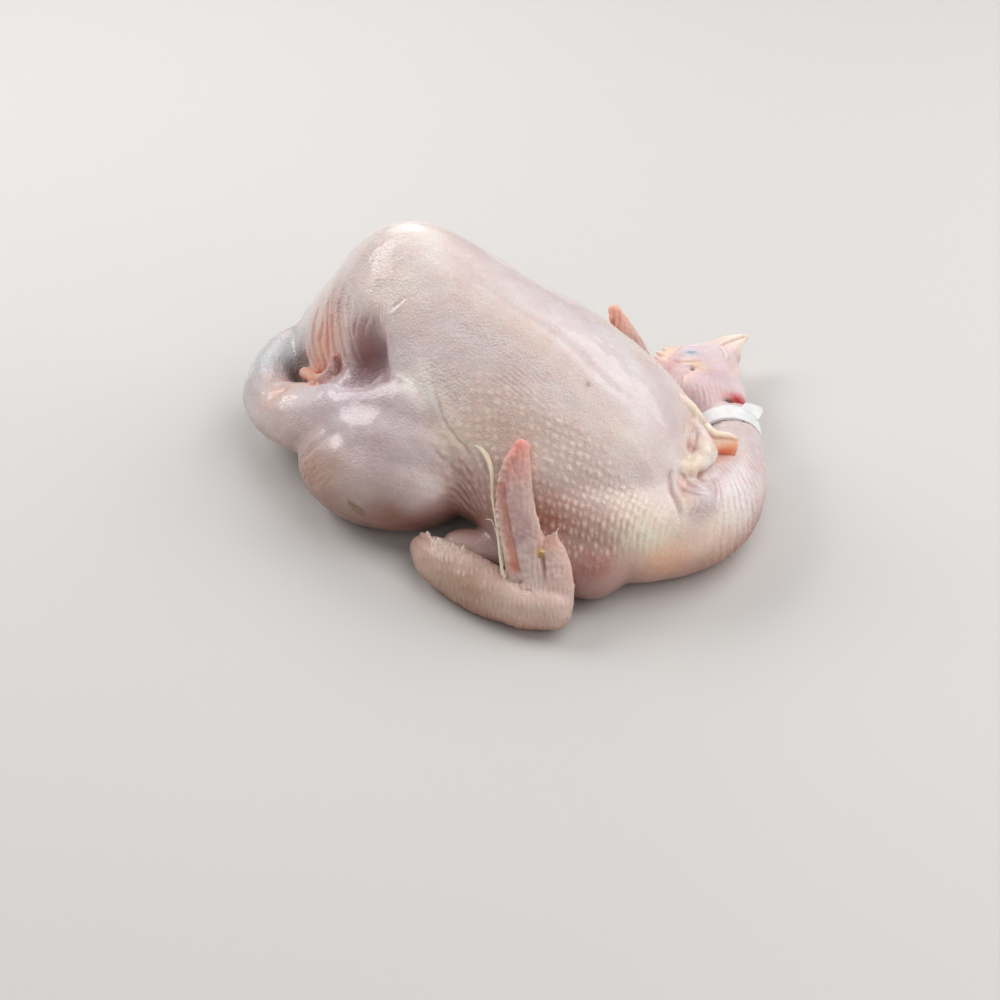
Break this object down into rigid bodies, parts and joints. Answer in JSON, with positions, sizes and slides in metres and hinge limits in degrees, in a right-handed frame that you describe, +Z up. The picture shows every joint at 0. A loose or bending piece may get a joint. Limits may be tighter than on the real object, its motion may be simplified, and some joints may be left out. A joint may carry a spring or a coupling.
{
  "type": "whole raw chicken",
  "caption": "Whole plucked raw chicken with its head on, lying on its back with the neck laid round to one side and a plain plastic band round the neck.",
  "frame": {"origin": "on the resting plane, under the middle of the bounding box", "axes": "+X along the spine towards the neck end, +Y to the bird's right side, where the head lies, +Z up, the way the breast points"},
  "size_m": [0.2861, 0.2649, 0.1237],
  "materials": {
    "raw_skin": "moist, fine-grained raw poultry skin, pale pink",
    "white_plastic": "smooth, semi-gloss, slightly translucent"
  },
  "bodies": {
    "root": {"chicken": "raw_skin", "neck_tag": "white_plastic"}
  },
  "joints": []
}
